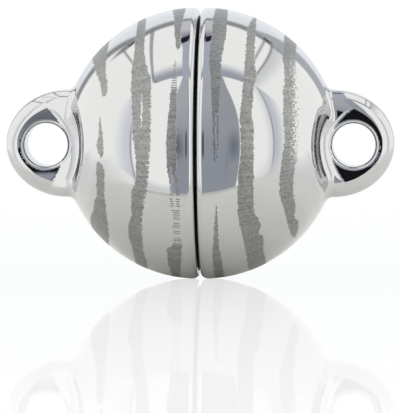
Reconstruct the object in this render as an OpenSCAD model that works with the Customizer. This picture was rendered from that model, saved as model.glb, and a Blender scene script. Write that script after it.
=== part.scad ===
// Magnetic ball clasp: a ball split into two halves, each with an eye and a disc magnet.
// The clasp lies along X, the eye holes run along Y and +Z is up.
// The origin is at the ball's lowest point, under its centre.

/* [Ball] */
// Diameter of the ball across the axis
ball_d = 12; // [11.5:0.5:14]
// Gap between the two parting faces when closed
parting_gap = 0.16; // [0.1:0.02:0.3]
// Straight band beside each parting face: the two half balls' centres lie this far behind them
land = 0.06; // [0.02:0.02:0.1]
// Rounding of the rim beside the gap
rim_round = 0.3; // [0.2:0.05:0.4]

/* [Eyes] */
// Distance from the middle of the clasp to the tip of an eye
eye_tip = 8.58; // [8.4:0.02:8.8]
// Distance from the middle of the clasp to the widest part of an eye's oval nose
nose_x = 5.9; // [5.8:0.05:6]
// Height of an eye at its widest
eye_width = 4.74; // [4.6:0.02:4.8]
// Thickness between an eye's two flats
eye_thickness = 2.5; // [2:0.1:2.8]
// Diameter of the hole through an eye
hole_d = 1.9; // [1.5:0.1:2]
// Metal between the hole and the nose's tip
hole_wall = 0.84; // [0.78:0.02:0.94]
// Chamfer at both ends of the hole
hole_chamfer = 0.12; // [0.05:0.01:0.2]

/* [Shoulder cuts] */
// How far the cut beside an eye reaches into the ball
cut_reach = 1.04; // [0.8:0.04:1.2]
// Radius of the cut's curved wall
cut_r = 4.2; // [4:0.1:5]
// Radius of the corner between that wall and the flat
cut_corner = 0.5; // [0.3:0.05:0.9]

/* [Magnets] */
// Diameter of each magnet
magnet_d = 6.4; // [5:0.1:7]
// Thickness of each magnet
magnet_t = 2.6; // [2:0.1:2.8]
// How far the left magnet stands proud of its parting face
register = 0.8; // [0.5:0.1:1]
// Clearance round and behind a magnet, and between the two magnets' faces
magnet_gap = 0.03; // [0.02:0.01:0.05]
// Chamfer on a magnet's edge and on a pocket's mouth
magnet_chamfer = 0.15; // [0.1:0.01:0.2]

/* [Hidden] */
$fn = 96;
STEEL = [0.78, 0.79, 0.80];
NICKEL = [0.66, 0.65, 0.62];
ball_r = ball_d / 2;
face_x = parting_gap / 2;
ball_x = face_x + land;

// The rim is rounded in short flats round this centre, and the last flat runs out of the ball
rim_x = face_x + rim_round;
rim_centre_r = sqrt(pow(ball_r - rim_round, 2) - pow(rim_x - ball_x, 2));
rim_points = [for (a = [-90, -60, -30, 0]) [rim_centre_r + rim_round * cos(a), rim_x + rim_round * sin(a)]];
rim_way = rim_points[3] - rim_points[2];
rim_out = rim_points[3] + 2 * rim_way;

// Where that last flat meets the sphere
rim_from = rim_points[2] - [0, ball_x];
rim_along = rim_from * rim_way / (rim_way * rim_way);
rim_past = (ball_r * ball_r - rim_from * rim_from) / (rim_way * rim_way);
rim_cross = rim_points[2] + (sqrt(rim_along * rim_along + rim_past) - rim_along) * rim_way;

hole_r = hole_d / 2;
hole_x = eye_tip - hole_wall - hole_r;
cut_x = ball_x + ball_r - cut_reach + cut_r;
magnet_r = magnet_d / 2;
pocket_r = magnet_r + magnet_gap;
left_pocket_end = magnet_t + magnet_gap - register + face_x;
right_face_x = register - face_x + magnet_gap;
right_pocket_end = right_face_x + magnet_t + magnet_gap;

// Height of the ball's centre: it stands where the two rims meet the sphere, beside the gap
centre_z = rim_cross[0];
clear = 1;

// Turns a profile drawn as [distance from the axis, x] about the X axis
module turned() {
    rotate([0, 90, 0]) rotate_extrude() children();
}

module half_profile() {
    far = 2 * ball_r;
    // Half ball with its flat parting face and rounded rim
    intersection() {
        translate([0, ball_x]) circle(r = ball_r);
        polygon(concat([[0, face_x]], [for (i = [0:2]) rim_points[i]], [rim_out, [far, far], [0, far]]));
    }
    // Eye: a straight root that ends in an oval nose
    translate([0, nose_x / 2]) square([eye_width / 2, nose_x / 2]);
    intersection() {
        translate([0, nose_x]) scale([eye_width / 2, eye_tip - nose_x]) circle(r = 1);
        translate([0, nose_x]) square(eye_width);
    }
}

// Space in front of an eye's flat: its wall curves round an axis along Y
module shoulder_cut() {
    translate([cut_x, -eye_thickness / 2, 0]) rotate([90, 0, 0]) rotate_extrude() {
        square([cut_r - cut_corner, ball_r]);
        translate([0, cut_corner]) square([cut_r, ball_r - cut_corner]);
        translate([cut_r - cut_corner, cut_corner]) circle(r = cut_corner);
    }
}

module eye_hole() {
    half_t = eye_thickness / 2;
    translate([hole_x, 0, 0]) rotate([90, 0, 0]) {
        cylinder(r = hole_r, h = 2 * ball_r, center = true);
        for (end = [0, 1]) mirror([0, 0, end])
            translate([0, 0, half_t - hole_chamfer])
                cylinder(r1 = hole_r, r2 = hole_r + hole_chamfer + clear, h = hole_chamfer + clear);
    }
}

// Blind round pocket from the parting face, with a chamfered mouth
module pocket(end_x) {
    turned() polygon([[0, -clear], [pocket_r + magnet_chamfer + clear, face_x - clear],
                      [pocket_r, face_x + magnet_chamfer], [pocket_r, end_x], [0, end_x]]);
}

module magnet(low_x, high_x) {
    side = magnet_r - magnet_chamfer;
    turned() polygon([[0, low_x], [side, low_x], [magnet_r, low_x + magnet_chamfer],
                      [magnet_r, high_x - magnet_chamfer], [side, high_x], [0, high_x]]);
}

// A half with its eye towards +X
module half(pocket_end) {
    difference() {
        turned() half_profile();
        shoulder_cut();
        mirror([0, 1, 0]) shoulder_cut();
        eye_hole();
        pocket(pocket_end);
    }
}

module left_half() {
    color(STEEL) translate([0, 0, centre_z]) mirror([1, 0, 0]) half(left_pocket_end);
}

module right_half() {
    color(STEEL) translate([0, 0, centre_z]) half(right_pocket_end);
}

module left_magnet() {
    front_x = register - face_x;
    color(NICKEL) translate([0, 0, centre_z]) magnet(front_x - magnet_t, front_x);
}

module right_magnet() {
    color(NICKEL) translate([0, 0, centre_z]) magnet(right_face_x, right_face_x + magnet_t);
}

left_half();
left_magnet();
right_half();
right_magnet();
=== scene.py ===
"""Magnetic ball clasp: the polished halves with their matte marks, the magnets and the studio."""

import math

import bpy
import numpy as np
from bpy.props import FloatProperty, FloatVectorProperty, IntProperty, PointerProperty
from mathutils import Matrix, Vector


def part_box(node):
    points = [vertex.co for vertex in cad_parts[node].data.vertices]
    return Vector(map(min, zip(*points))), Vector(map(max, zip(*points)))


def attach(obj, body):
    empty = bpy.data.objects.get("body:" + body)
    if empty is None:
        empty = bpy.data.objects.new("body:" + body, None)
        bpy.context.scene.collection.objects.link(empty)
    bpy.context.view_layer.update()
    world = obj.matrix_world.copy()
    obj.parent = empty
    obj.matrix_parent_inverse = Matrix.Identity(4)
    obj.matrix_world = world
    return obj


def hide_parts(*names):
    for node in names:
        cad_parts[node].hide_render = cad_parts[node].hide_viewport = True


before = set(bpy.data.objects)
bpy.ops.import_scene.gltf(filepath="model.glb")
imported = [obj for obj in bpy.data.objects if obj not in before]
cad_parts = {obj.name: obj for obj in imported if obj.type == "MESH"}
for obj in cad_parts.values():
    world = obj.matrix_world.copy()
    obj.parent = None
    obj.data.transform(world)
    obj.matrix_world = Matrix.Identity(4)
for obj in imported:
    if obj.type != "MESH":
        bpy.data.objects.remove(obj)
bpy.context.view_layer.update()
RIGHT_LOW, RIGHT_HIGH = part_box("right_half")
MAGNET_LOW, MAGNET_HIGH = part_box("left_magnet")
FAR_MAGNET_LOW, FAR_MAGNET_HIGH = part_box("right_magnet")

bl_info = {
    "name": "Magnetic ball clasp",
    "version": (1, 0, 0),
    "blender": (4, 5, 0),
    "location": "3D View > Sidebar > Clasp",
    "description": "Polished halves with matte marks, magnets and studio of a magnetic ball clasp",
    "category": "Object",
}

MM = 1000.0  # shapes are worked out in millimetres and built in metres
CENTRE_Z = (RIGHT_LOW.z + RIGHT_HIGH.z) / 2

# Matte bands on each half, from the parting outwards. Each edge is a list of (degrees round the
# ball from the top over the front, millimetres from the middle); where the edges cross, the band stops.
LEFT_BANDS = [
    {
        "name": "inner",
        "near": [
            (0, 0.72), (9, 0.63), (22, 0.68), (34, 0.73), (40, 0.69), (44.5, 0.70), (46.5, 0.98),
            (50, 0.98), (52, 0.87), (57, 0.85), (60, 0.82), (64, 0.80), (72, 0.78), (81, 0.81),
            (90, 0.80), (100, 0.80), (104, 0.72), (111, 0.65), (120, 0.68), (131, 0.69),
            (134, 0.64), (143, 0.68), (161, 0.82), (180, 0.9),
        ],
        "far": [
            (0, 1.25), (12, 1.17), (21, 1.07), (33, 1.00), (40, 0.91), (44.5, 0.86), (46.5, 0.78),
            (50, 0.88), (52, 0.94), (56, 0.95), (60, 1.01), (64, 1.05), (71, 1.09), (81, 1.16),
            (88, 1.20), (100, 1.18), (104, 1.10), (117, 1.09), (119, 0.99), (131, 1.00),
            (137, 1.04), (140, 1.30), (150, 1.32), (163, 1.24), (180, 1.3),
        ],
    },
    {
        "name": "middle",
        "near": [
            (0, 2.42), (14, 2.36), (32, 2.32), (45, 2.28), (53, 2.14), (60, 1.95), (69, 1.92),
            (77, 1.91), (88, 1.92), (96, 1.98), (104, 2.02), (109, 2.09), (115, 2.20), (122, 2.31),
            (135, 2.38), (144, 2.38), (159, 2.28), (180, 2.3),
        ],
        "far": [
            (0, 2.75), (28, 2.73), (42, 2.75), (50, 2.81), (60, 2.83), (67, 2.79), (76, 2.75),
            (87, 2.70), (93, 2.60), (104, 2.57), (107, 2.62), (110, 2.75), (117, 2.81), (124, 2.81),
            (128, 2.93), (138, 3.01), (148, 2.88), (171, 2.84), (180, 2.85),
        ],
    },
    {
        "name": "outer",
        "near": [
            (0, 3.98), (28, 4.02), (39, 4.03), (46, 4.02), (52, 3.94), (59, 3.90), (61.5, 3.95),
            (63, 4.25), (68, 4.4), (72, 4.24), (77, 4.15), (81, 4.11), (87, 4.06), (90, 4.03),
            (94, 4.04), (97, 4.13), (98, 4.3), (99, 4.26), (101, 4.08), (105, 4.0), (117, 4.02),
            (128, 3.98), (146, 3.92), (160, 3.98), (180, 4.02),
        ],
        "far": [
            (0, 4.8), (14, 4.76), (22, 4.69), (28, 4.61), (39, 4.50), (49, 4.31), (57, 4.18),
            (60, 4.14), (61.5, 4.10), (63, 4.0), (68, 4.05), (72, 4.2), (76, 4.24), (82, 4.26),
            (87, 4.30), (90, 4.36), (94, 4.27), (97, 4.14), (98, 4.1), (99, 4.26), (101, 4.36),
            (107, 4.38), (119, 4.38), (127, 4.51), (135, 4.58), (146, 4.75), (163, 4.80),
            (180, 4.8),
        ],
    },
]
RIGHT_BANDS = [
    {
        "name": "inner",
        "near": [
            (0, 0.70), (12, 0.68), (26, 0.65), (37, 0.65), (45, 0.58), (52, 0.57), (59, 0.65),
            (68, 0.71), (75, 0.75), (83, 0.80), (89, 0.81), (95, 0.85), (98, 0.95), (106, 1.02),
            (112, 0.98), (115, 0.92), (120, 0.86), (126, 0.81), (135, 0.74), (143, 0.67),
            (160, 0.67), (180, 0.7),
        ],
        "far": [
            (0, 1.22), (24, 1.26), (36, 1.25), (45, 1.16), (52, 1.09), (59, 1.10), (67, 1.06),
            (75, 1.03), (83, 1.03), (89, 1.01), (95, 0.94), (98, 0.86), (106, 0.84), (112, 0.88),
            (115, 0.93), (120, 0.95), (126, 0.97), (136, 0.97), (144, 1.04), (162, 1.08),
            (180, 1.1),
        ],
    },
    {
        "name": "middle",
        "near": [
            (0, 2.38), (11, 2.31), (27, 2.17), (39, 2.15), (50, 2.12), (58, 2.08), (64, 2.05),
            (71, 1.99), (77, 1.95), (83, 1.96), (89, 1.99), (98, 1.93), (104, 1.86), (119, 1.84),
            (127, 1.91), (135, 2.02), (140, 2.08), (156, 2.15), (180, 2.2),
        ],
        "far": [
            (0, 2.48), (12, 2.5), (24, 2.51), (37, 2.51), (49, 2.54), (56, 2.61), (63, 2.51),
            (70, 2.48), (76, 2.45), (81, 2.54), (89, 2.54), (104, 2.53), (114, 2.52), (121, 2.53),
            (126, 2.72), (131, 2.80), (134, 2.72), (140, 2.91), (147, 2.87), (160, 2.92),
            (180, 2.94),
        ],
    },
    {
        "name": "outer",
        "near": [
            (0, 3.72), (22, 3.73), (35, 3.70), (44, 3.78), (53, 3.83), (61, 3.77), (68, 3.79),
            (76, 3.80), (87, 3.86), (90, 3.82), (97, 3.74), (104, 3.66), (114, 3.63), (124, 3.78),
            (131, 3.87), (137, 3.94), (148, 4.04), (156, 4.14), (160, 4.26), (165, 4.45),
            (180, 4.4),
        ],
        "far": [
            (0, 4.26), (12, 4.26), (25, 4.23), (40, 4.30), (50, 4.42), (58, 4.46), (66, 4.48),
            (75, 4.48), (87, 4.46), (97, 4.38), (106, 4.26), (117, 4.21), (129, 4.30), (135, 4.24),
            (144, 4.40), (155, 4.32), (160, 4.23), (165, 4.1), (180, 4.1),
        ],
    },
]
# Polished slits inside a band, charted in the same way
LEFT_SLIT = {
    "near": [
        (0, 2.5), (60, 2.5), (66, 2.32), (72, 2.30), (80, 2.31), (84, 2.42), (88, 2.5), (180, 2.5),
    ],
    "far": [
        (0, 2.2), (60, 2.2), (66, 2.35), (72, 2.37), (80, 2.35), (84, 2.3), (88, 2.2), (180, 2.2),
    ],
}
RIGHT_SLIT = {
    "near": [
        (0, 1.0), (70, 1.0), (76, 0.92), (82, 0.87), (90, 0.89), (96, 0.9), (104, 0.95), (180, 1.0),
    ],
    "far": [
        (0, 0.8), (70, 0.8), (76, 0.93), (82, 0.95), (90, 0.96), (96, 0.92), (104, 0.8), (180, 0.8),
    ],
}


class ClaspSizes(bpy.types.PropertyGroup):
    """Sizes of the clasp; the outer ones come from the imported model."""

    ball_d: FloatProperty(
        name="Ball diameter", description="Diameter of each half ball",
        default=0.012, min=0.006, max=0.02, unit="LENGTH", precision=5,
    )
    face_x: FloatProperty(
        name="Parting face", description="Distance from the middle of the clasp to a parting face",
        default=RIGHT_LOW.x * 0.82, min=0.00002, max=0.0005, unit="LENGTH", precision=5,
    )
    land: FloatProperty(
        name="Land", description="How far a half ball's centre lies behind its parting face",
        default=0.00006, min=0, max=0.0003, unit="LENGTH", precision=5,
    )
    rim_round: FloatProperty(
        name="Rim rounding", description="Rounding of the rim beside the gap",
        default=0.0004, min=0.0001, max=0.0006, unit="LENGTH", precision=5,
    )
    rim_angle: FloatProperty(
        name="Rim angle",
        description="How far the rim's rounding turns before the parting face cuts it off",
        default=math.radians(50), min=math.radians(20), max=math.radians(90),
        subtype="ANGLE", unit="ROTATION",
    )
    eye_tip: FloatProperty(
        name="Eye tip", description="Distance from the middle of the clasp to the tip of an eye",
        default=RIGHT_HIGH.x, min=0.0075, max=0.011, unit="LENGTH", precision=5,
    )
    nose_x: FloatProperty(
        name="Eye's widest place", description="Distance from the middle to the widest place of an eye",
        default=0.0059, min=0.005, max=0.007, unit="LENGTH", precision=5,
    )
    eye_width: FloatProperty(
        name="Eye width", description="Height of an eye at its widest",
        default=0.00474, min=0.003, max=0.006, unit="LENGTH", precision=5,
    )
    eye_thickness: FloatProperty(
        name="Eye thickness", description="Thickness between the two flats of an eye",
        default=0.0025, min=0.0015, max=0.0035, unit="LENGTH", precision=5,
    )
    hole_d: FloatProperty(
        name="Hole diameter", description="Diameter of the hole through an eye",
        default=0.0019, min=0.001, max=0.0025, unit="LENGTH", precision=5,
    )
    hole_x: FloatProperty(
        name="Hole place", description="Distance from the middle of the clasp to the axis of a hole",
        default=0.00679, min=0.006, max=0.0075, unit="LENGTH", precision=5,
    )
    hole_round: FloatProperty(
        name="Hole edge", description="Rounding of the edge of a hole",
        default=0.00019, min=0.00005, max=0.0003, unit="LENGTH", precision=5,
    )
    cut_x: FloatProperty(
        name="Cut axis", description="Distance from the middle to the axis of the shoulder cut's wall",
        default=0.0093, min=0.008, max=0.011, unit="LENGTH", precision=5,
    )
    cut_r: FloatProperty(
        name="Cut radius", description="Radius of the shoulder cut's wall at the flat",
        default=0.0042, min=0.003, max=0.006, unit="LENGTH", precision=5,
    )
    edge_round: FloatProperty(
        name="Edge rounding", description="Polished rounding of the eyes' outer edges, up to the flats",
        default=0.00056, min=0.0001, max=0.0009, unit="LENGTH", precision=5,
    )
    shoulder_round: FloatProperty(
        name="Shoulder rounding", description="Polished rounding where a shoulder cut leaves the ball",
        default=0.0002, min=0.00005, max=0.0005, unit="LENGTH", precision=5,
    )
    flat_angle: FloatProperty(
        name="Flat's edge", description="Angle of the crisp edge between a flat and its rounded border",
        default=math.radians(17), min=math.radians(8), max=math.radians(45),
        subtype="ANGLE", unit="ROTATION",
    )
    left_twist: FloatProperty(
        name="Left flats' twist",
        description="Twist that hand polishing has left in the left flats, in radians per millimetre",
        default=0.061, min=-0.1, max=0.1,
    )
    right_twist: FloatProperty(
        name="Right flats' twist",
        description="Twist that hand polishing has left in the right flats, in radians per millimetre",
        default=0.003, min=-0.05, max=0.05,
    )
    twist_drop: FloatProperty(
        name="Twist's start", description="How far below the holes' axis the left flats lie true",
        default=0.00051, min=0, max=0.002, unit="LENGTH", precision=5,
    )
    neck_round: FloatProperty(
        name="Neck fillet", description="Hollow rounding where an eye leaves the ball",
        default=0.00022, min=0.00005, max=0.0006, unit="LENGTH", precision=5,
    )
    magnet_round: FloatProperty(
        name="Magnet edge", description="Rounding of a magnet's edges",
        default=0.00015, min=0.00005, max=0.0004, unit="LENGTH", precision=5,
    )
    magnet_sides: IntProperty(
        name="Magnet facets", description="Number of facets round a magnet", default=128, min=24, max=256,
    )


class ClaspFinish(bpy.types.PropertyGroup):
    """Colours and fine detail of the metals."""

    steel: FloatVectorProperty(
        name="Polished steel", description="Colour of the mirror-polished steel",
        default=(0.640, 0.640, 0.640), size=3, min=0, max=1, subtype="COLOR",
    )
    mark: FloatVectorProperty(
        name="Matte marks", description="Colour of the laser-marked bands",
        default=(0.345, 0.345, 0.332), size=3, min=0, max=1, subtype="COLOR",
    )
    raster: FloatProperty(
        name="Raster pitch", description="Distance between two laser lines in the bands",
        default=0.000056, min=0.00003, max=0.0002, unit="LENGTH", precision=6,
    )
    nickel: FloatVectorProperty(
        name="Magnet plating", description="Colour of the magnets' nickel plating",
        default=(0.56, 0.53, 0.48), size=3, min=0, max=1, subtype="COLOR",
    )


class ClaspStudio(bpy.types.PropertyGroup):
    """The light tent, the floor and the camera."""

    white: FloatVectorProperty(
        name="Tent white", description="Brightness of the tent's lit cloth",
        default=(1.235, 1.24, 1.22), size=3, min=0, max=3, subtype="COLOR",
    )
    opening: FloatVectorProperty(
        name="Tent opening", description="Brightness of the room seen through the tent's opening",
        default=(0.385, 0.415, 0.475), size=3, min=0, max=3, subtype="COLOR",
    )
    floor_white: FloatVectorProperty(
        name="Floor", description="Colour of the pale floor",
        default=(0.815, 0.815, 0.80), size=3, min=0, max=1, subtype="COLOR",
    )
    floor_near: FloatVectorProperty(
        name="Floor beside the clasp", description="Warmer colour of the floor close to the clasp",
        default=(0.815, 0.818, 0.758), size=3, min=0, max=1, subtype="COLOR",
    )
    floor_edge: FloatProperty(
        name="Floor edge", description="How far in front of the clasp its reflections still show the floor",
        default=0.0101, min=0, max=1, unit="LENGTH", precision=4,
    )
    # Painted light: the floor glows in the steel's reflections, though it is no lamp
    painted_floor_glow: FloatProperty(
        name="Floor glow", description="Light that the floor passes up from below",
        default=0.16, min=0, max=1,
    )
    gloss: FloatProperty(
        name="Floor gloss", description="Strength of the floor's mirror image beside the clasp",
        default=0.30, min=0, max=1, subtype="FACTOR",
    )
    gloss_reach: FloatProperty(
        name="Gloss reach", description="Distance over which the floor's mirror image fades",
        default=0.115, min=0.005, max=1, unit="LENGTH", precision=4,
    )
    turn: FloatProperty(
        name="Camera turn", description="How far the camera stands round to the right of the clasp's front",
        default=math.radians(2.6), min=-math.pi, max=math.pi, subtype="ANGLE", unit="ROTATION",
    )
    rise: FloatProperty(
        name="Camera rise", description="How far the camera looks down on the clasp",
        default=math.radians(1.6), min=0, max=math.pi / 2, subtype="ANGLE", unit="ROTATION",
    )
    distance: FloatProperty(
        name="Camera distance", description="Distance from the camera to the ball",
        default=0.26, min=0.05, max=5, unit="LENGTH", precision=3,
    )
    view_width: FloatProperty(
        name="View width", description="Width of the picture at the ball",
        default=0.017715, min=0.005, max=1, unit="LENGTH", precision=5,
    )


# Shape of a half, in millimetres
SWELL = 0.3  # how much of the ball's roundness the eyes' edges have from front to back
PLATE_START = 1.0  # how far from the ball's centre an eye's plate begins
EDGE_FLATTENING = 0.7  # depth of the eyes' edge rounding over its width
EDGE_GROWTH = 0.24  # how much wider it is above and below than at the tip
EDGE_GROWS_FROM = 0.3  # height at which it starts to widen
EDGE_GROWS_OVER = 1.1
TWIST_HEIGHT = 1.8  # the flats' twist grows up to this height
TWIST_LENGTH = 1.5  # and up to this distance from the hole's axis
HOLE_DROP = 0.05  # how far the holes' middles are seen to lie below the ball's
MAGNET_GAP = 0.03  # glue round and behind a magnet
MOUTH_ROUND = 0.1  # rounding of a pocket's mouth
SKIN_LIFT = 0.006  # how far the outer skin lies off the cuts, so that they alone bound the metal
# Hollow corner beside the hole: its radius, how that widens above and below (mm per mm2), how far its
# end lies behind the cut's wall (of its radius), and how steeply the eye's face slopes up beside it
LEFT_CORNERS = {
    "radius": 2.0, "above": 0.31, "below": 0.14, "behind": 0.305, "slope_above": 0.14, "slope_below": 0.38,
}
RIGHT_CORNERS = {
    "radius": 0.93, "above": 0.30, "below": 0.09, "behind": 0.0, "slope_above": 0.0, "slope_below": 0.15,
}
CORNER_ANGLE = math.radians(16)  # between the flat and the start of its hollow corner
CORNER_GROWS_TO = 4.5  # mm2, the height squared at which its radius stops widening
CORNER_END_HEIGHT = 9.0  # mm2, the height squared up to which the wall's curve is followed
WALL_ROUND = 0.25  # rounding where a hollow corner that ends behind the wall meets it


def rounded_both(a, b, r):
    """What lies in both solids, with their common edge rounded to radius r."""
    return np.minimum(np.maximum(a, b), -r) + np.hypot(np.maximum(a + r, 0), np.maximum(b + r, 0))


def rounded_either(a, b, r):
    """What lies in either solid, with a hollow fillet of radius r between them."""
    return np.maximum(np.minimum(a, b), r) - np.hypot(np.maximum(r - a, 0), np.maximum(r - b, 0))


def half_skins(sizes, pocket_end, flat_twist, drop, corners):
    """The skins that bound a half, each as a function of points (n, 3): mm outside it, below zero inside.

    The eye points to +X and the origin is the ball's centre. Where two skins meet, the edge is crisp.
    """
    settings = ClaspSizes.__annotations__.items()
    lengths = [name for name, setting in settings if setting.keywords.get("unit") == "LENGTH"]
    mm = {name: getattr(sizes, name) * MM for name in lengths}
    overhang = mm["rim_round"] * (1 - math.sin(sizes.rim_angle))
    rise = 1 - math.cos(math.atan(math.tan(sizes.flat_angle) / EDGE_FLATTENING))
    pocket_r = (MAGNET_HIGH.y - MAGNET_LOW.y) / 2 * MM + MAGNET_GAP

    def past_flat(x, y, z):
        high = np.clip(z, -TWIST_HEIGHT, TWIST_HEIGHT) + drop
        twist = flat_twist * high * np.clip(x - mm["hole_x"], -TWIST_LENGTH, TWIST_LENGTH)
        return np.abs(y) - mm["eye_thickness"] / 2 + twist

    def corner_radius(z):
        growth = np.where(z > 0, corners["above"], corners["below"])
        return corners["radius"] + growth * np.minimum(z * z, CORNER_GROWS_TO)

    def shoulder(x, y, z, lift):
        """The space that is cut away beside an eye, lifted off the metal."""
        beyond = lift - past_flat(x, y, z)
        wall = np.hypot(x - mm["cut_x"], z) - mm["cut_r"] + lift
        corner = corner_radius(z)
        sunk = beyond - corner * (1 - math.cos(CORNER_ANGLE))
        hollow = rounded_both(sunk, wall - corner * corners["behind"], corner)
        if corners["behind"] > 0:
            hollow = rounded_both(hollow, wall, WALL_ROUND)
        return np.maximum(beyond, hollow)

    def face_slope(x, z):
        """How far an eye's face lies up where it slopes beside the hollow corner."""
        width = (1 - math.sin(CORNER_ANGLE) - corners["behind"]) * corner_radius(z)
        wall_x = mm["cut_x"] - np.sqrt(mm["cut_r"] ** 2 - np.minimum(z * z, CORNER_END_HEIGHT))
        steepness = np.where(z > 0, corners["slope_above"], corners["slope_below"])
        return steepness * np.maximum(wall_x + width - x, 0)

    def outside(p):
        x, y, z = p.T
        from_axis = np.hypot(y, z)
        ball = np.sqrt((x - mm["face_x"] - mm["land"]) ** 2 + from_axis**2) - mm["ball_d"] / 2
        ball = rounded_both(ball, mm["face_x"] - overhang - x, mm["rim_round"])
        # Eye: a plate with an oval end and a slight swell, its edges rounded up to the flats
        wide, long = mm["eye_width"] / 2, mm["eye_tip"] - mm["nose_x"]
        ahead, aside = np.maximum(x - mm["nose_x"], 0), np.hypot(z, SWELL * y)
        reach = np.hypot(ahead / long, aside / wide)
        nose = reach * (reach - 1) / np.maximum(np.hypot(ahead / long**2, aside / wide**2), 1e-6)
        growth = np.clip((np.abs(z) - EDGE_GROWS_FROM) / EDGE_GROWS_OVER, 0, 1)
        edge = mm["edge_round"] * (1 + EDGE_GROWTH * growth)
        top = past_flat(x, y, z) - edge * rise - face_slope(x, z)
        plate = rounded_both(nose * EDGE_FLATTENING, top, edge)
        ball = rounded_both(ball, -shoulder(x, y, z, SKIN_LIFT), mm["shoulder_round"])
        return rounded_either(ball, np.maximum(plate, PLATE_START - x), mm["neck_round"])

    def inside_cuts(p):
        x, y, z = p.T
        hole = np.hypot(x - mm["hole_x"], z + HOLE_DROP) - mm["hole_d"] / 2
        return rounded_both(-shoulder(x, y, z, 0.0), -hole, mm["hole_round"])

    def parting(p):
        x, y, z = p.T
        pocket = np.maximum(np.hypot(y, z) - pocket_r, x - pocket_end)
        return rounded_both(mm["face_x"] - x, -pocket, MOUTH_ROUND)

    return outside, inside_cuts, parting


# Grid in which a half's skin is found, in millimetres
RIM_START = 5.4  # distance from the axis beyond which the rim's rounding needs close lines
RIM_STEP = 0.075
EYE_STEP = 0.057
CLOSE_TO, CLOSE_FROM = 0.55, 4.6  # along the clasp, lines are close up to the first and from the second
GRID_MARGIN = 0.1  # how far the grid reaches past the metal
FACE_MARGIN = 0.11  # and past the parting face
GRID_PARTS = 24  # the grid is worked out in this many parts, to spare memory


def stops(*spans):
    """Grid coordinates for spans of (from, to, step)."""
    parts = [np.linspace(a, b, max(2, round((b - a) / step) + 1))[:-1] for a, b, step in spans]
    return np.concatenate(parts + [np.array([spans[-1][1]])])


def even_stops(top, eye_reach, wide_step):
    """Stops from -top to top: close at the rim and over the eye, and wide between them."""
    return stops(
        (-top, -RIM_START, RIM_STEP),
        (-RIM_START, -eye_reach, wide_step),
        (-eye_reach, eye_reach, EYE_STEP),
        (eye_reach, RIM_START, wide_step),
        (RIM_START, top, RIM_STEP),
    )


def half_grid(sizes):
    """Grid coordinates along, across and up."""
    top = sizes.ball_d / 2 * MM + GRID_MARGIN
    face, tip = sizes.face_x * MM - FACE_MARGIN, sizes.eye_tip * MM + GRID_MARGIN
    along = stops((face, CLOSE_TO, 0.052), (CLOSE_TO, CLOSE_FROM, 0.145), (CLOSE_FROM, tip, 0.054))
    return along, even_stops(top, 3.5, 0.16), even_stops(top, 2.6, 0.155)


def next_along(axis):
    """Slices that pick each grid point and the next one along an axis."""
    low, high = [slice(None)] * 3, [slice(None)] * 3
    low[axis], high[axis] = slice(0, -1), slice(1, None)
    return tuple(low), tuple(high)


def skin(distance, xs, ys, zs):
    """Quads on the zero level of distance, one corner in each grid cell that the skin crosses."""
    shape = (len(xs), len(ys), len(zs))
    grid = np.stack(np.meshgrid(xs, ys, zs, indexing="ij"), -1).reshape(-1, 3)
    f = np.concatenate([distance(part) for part in np.array_split(grid, GRID_PARTS)]).reshape(shape)
    grid = grid.reshape(shape + (3,))
    inside = f < 0
    cells = tuple(n - 1 for n in shape)
    total, count = np.zeros(cells + (3,)), np.zeros(cells)
    for axis in range(3):
        low, high = next_along(axis)
        crossed = inside[low] != inside[high]
        with np.errstate(divide="ignore", invalid="ignore"):
            t = np.where(crossed, f[low] / (f[low] - f[high]), 0)[..., None]
        at = np.where(crossed[..., None], grid[low] * (1 - t) + grid[high] * t, 0)
        others = [a for a in range(3) if a != axis]
        for i in (0, 1):
            for j in (0, 1):
                pick = [slice(None)] * 3
                pick[others[0]] = slice(i, cells[others[0]] + i)
                pick[others[1]] = slice(j, cells[others[1]] + j)
                total += at[tuple(pick)]
                count += crossed[tuple(pick)]
    used = count > 0
    index = np.full(cells, -1)
    index[used] = np.arange(used.sum())
    points = total[used] / count[used][:, None]
    quads = []
    for axis in range(3):
        low, high = next_along(axis)
        goes_out = inside[low] & ~inside[high]
        goes_in = ~inside[low] & inside[high]
        for crossed, outward in ((goes_out, True), (goes_in, False)):
            i, j, k = np.nonzero(crossed)
            a, b = [(1, 2), (2, 0), (0, 1)][axis]
            step_a, step_b = np.zeros(3, int), np.zeros(3, int)
            step_a[a], step_b[b] = 1, 1
            base = np.stack([i, j, k], -1)
            ring = [base - step_a - step_b, base - step_b, base, base - step_a]
            if not outward:
                ring.reverse()
            quads.append(np.stack([index[tuple(c.T)] for c in ring], -1))
    return points, np.concatenate(quads)


def slope(distance, points, step=0.003):
    """Unit direction in which distance grows at the points."""
    parts = []
    for axis in range(3):
        d = np.zeros(3)
        d[axis] = step
        parts.append(distance(points + d) - distance(points - d))
    g = np.stack(parts, -1)
    return g / np.maximum(np.linalg.norm(g, axis=1, keepdims=True), 1e-9)


# How the points of a skin are settled
SPREAD_ROUNDS = 4  # rounds that spread the points and put them on the skin
PUT_ROUNDS = 3  # rounds that only put them on it, and then rounds that draw them onto the crisp edges
MAX_PUT = 0.05  # mm, the longest way in one round
EDGE_SHARE = 0.42  # points nearer to a crisp edge than this share of their spacing are drawn onto it
MAX_DRAW = 0.12  # mm, the longest way that a point is drawn
PARALLEL = 0.008  # sine squared of the angle below which two skins make no edge


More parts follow.
